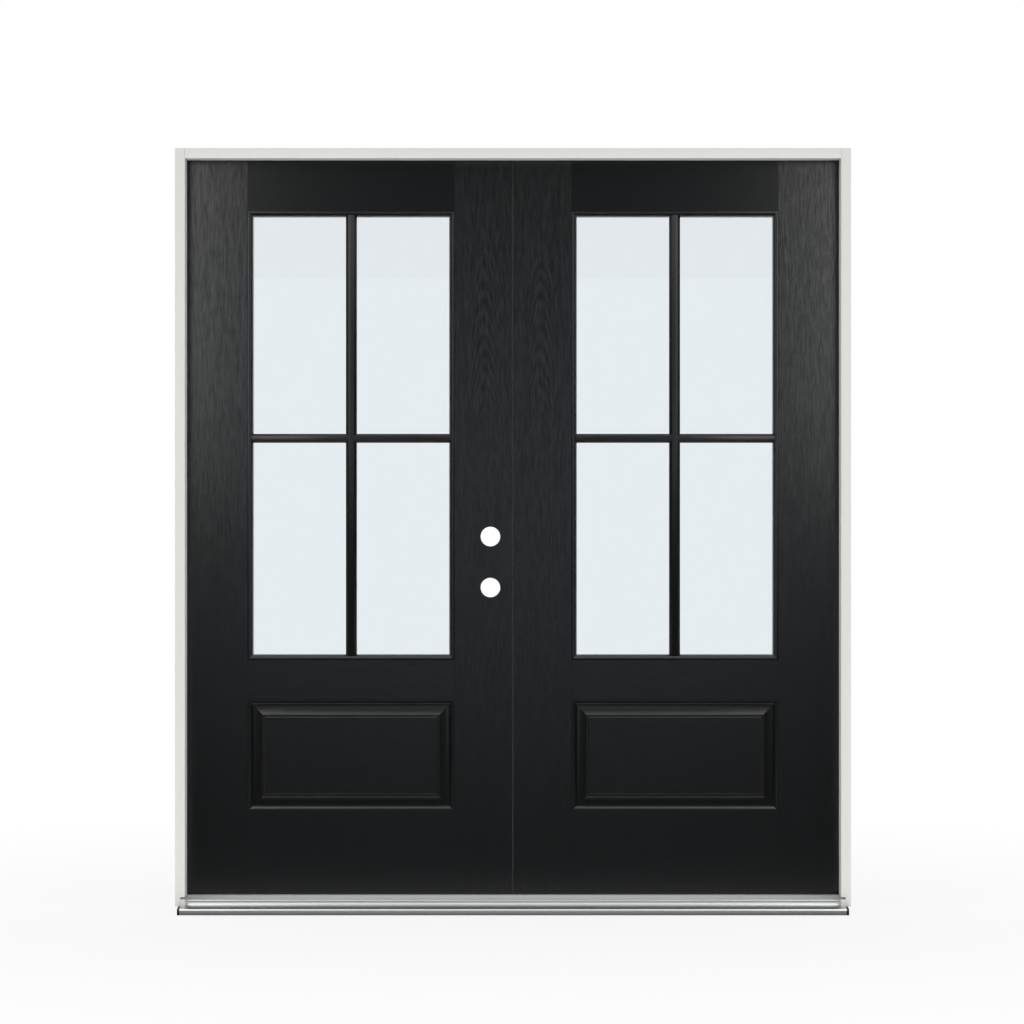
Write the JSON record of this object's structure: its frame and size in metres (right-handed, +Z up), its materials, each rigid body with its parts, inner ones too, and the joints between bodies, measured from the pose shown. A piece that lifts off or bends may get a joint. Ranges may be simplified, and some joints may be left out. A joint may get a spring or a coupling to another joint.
{
  "type": "fiberglass exterior door",
  "caption": "Prehung pair of black fiberglass entrance doors in an off-white rabbeted frame, with divided glass over a raised panel, opening inwards over an aluminium sill.",
  "frame": {"origin": "on the underside of the sill, at the middle of its length and of the jambs' depth", "axes": "+Z up, -Y towards outdoors, +X to the right seen from outdoors"},
  "size_m": [1.8342, 0.1557, 2.078],
  "materials": {
    "leaf_skin": "satin black with moulded wood grain",
    "lite_frame": "satin black, smooth moulded",
    "clear_glass": "clear sealed double glazing",
    "pane_spacer": "plain mill",
    "jamb_white": "off-white factory coat",
    "sill_aluminium": "bright anodised",
    "cap_grey": "grey composite",
    "sill_composite": "raw composite",
    "end_black": "black moulded",
    "end_dam_white": "off-white moulded",
    "seal_rubber": "matt dark seal",
    "hardware_steel": "satin",
    "lumber": "laminated lumber, black at the leaf's edges",
    "foam": "rigid foam"
  },
  "bodies": {
    "frame": {"frame_hinge_screws": "hardware_steel", "head_jamb": "jamb_white", "head_strike_plate": "hardware_steel", "head_weatherstrip": "seal_rubber", "hinge_pins": "hardware_steel", "left_frame_hinge_leaves": "hardware_steel", "left_jamb": "jamb_white", "left_weatherstrip": "seal_rubber", "right_frame_hinge_leaves": "hardware_steel", "right_jamb": "jamb_white", "right_weatherstrip": "seal_rubber", "sill_base": "sill_composite", "sill_deck": "sill_aluminium", "sill_end_caps": "end_black", "sill_end_dams": "end_dam_white", "sill_strike_plate": "hardware_steel", "threshold_cap": "cap_grey"},
    "active_leaf": {"active_bottom_rail": "lumber", "active_door_sweep": "seal_rubber", "active_exterior_lite_frame": "lite_frame", "active_exterior_skin": "leaf_skin", "active_foam_core": "foam", "active_glass_spacer": "pane_spacer", "active_hinge_leaves": "hardware_steel", "active_hinge_screws": "hardware_steel", "active_hinge_stile": "lumber", "active_inner_glass": "clear_glass", "active_interior_lite_frame": "lite_frame", "active_interior_skin": "leaf_skin", "active_lock_block": "lumber", "active_lock_stile": "lumber", "active_outer_glass": "clear_glass", "active_top_rail": "lumber"},
    "passive_leaf": {"passive_bottom_rail": "lumber", "passive_door_sweep": "seal_rubber", "passive_exterior_lite_frame": "lite_frame", "passive_exterior_skin": "leaf_skin", "passive_foam_core": "foam", "passive_glass_spacer": "pane_spacer", "passive_hinge_leaves": "hardware_steel", "passive_hinge_screws": "hardware_steel", "passive_hinge_stile": "lumber", "passive_inner_glass": "clear_glass", "passive_interior_lite_frame": "lite_frame", "passive_interior_skin": "leaf_skin", "passive_lock_stile": "lumber", "passive_outer_glass": "clear_glass", "passive_top_rail": "lumber", "meeting_seal": "seal_rubber", "top_bolt_plate": "hardware_steel", "bottom_bolt_plate": "hardware_steel"},
    "top_bolt": {"top_bolt": "hardware_steel"},
    "bottom_bolt": {"bottom_bolt": "hardware_steel"}
  },
  "joints": [
    {"name": "active_leaf_swing", "type": "hinge", "parent": "frame", "child": "active_leaf", "pos_m": [-0.9012, 0.06505, 1.0915], "axis": [0, 0, 1], "range_deg": [0, 170]},
    {"name": "passive_leaf_swing", "type": "hinge", "parent": "frame", "child": "passive_leaf", "pos_m": [0.9012, 0.06505, 1.0915], "axis": [0, 0, -1], "range_deg": [0, 170]},
    {"name": "top_bolt_slide", "type": "slide", "parent": "passive_leaf", "child": "top_bolt", "axis": [0, 0, 1], "range_m": [0, 0.014]},
    {"name": "bottom_bolt_slide", "type": "slide", "parent": "passive_leaf", "child": "bottom_bolt", "axis": [0, 0, -1], "range_m": [0, 0.014]}
  ]
}
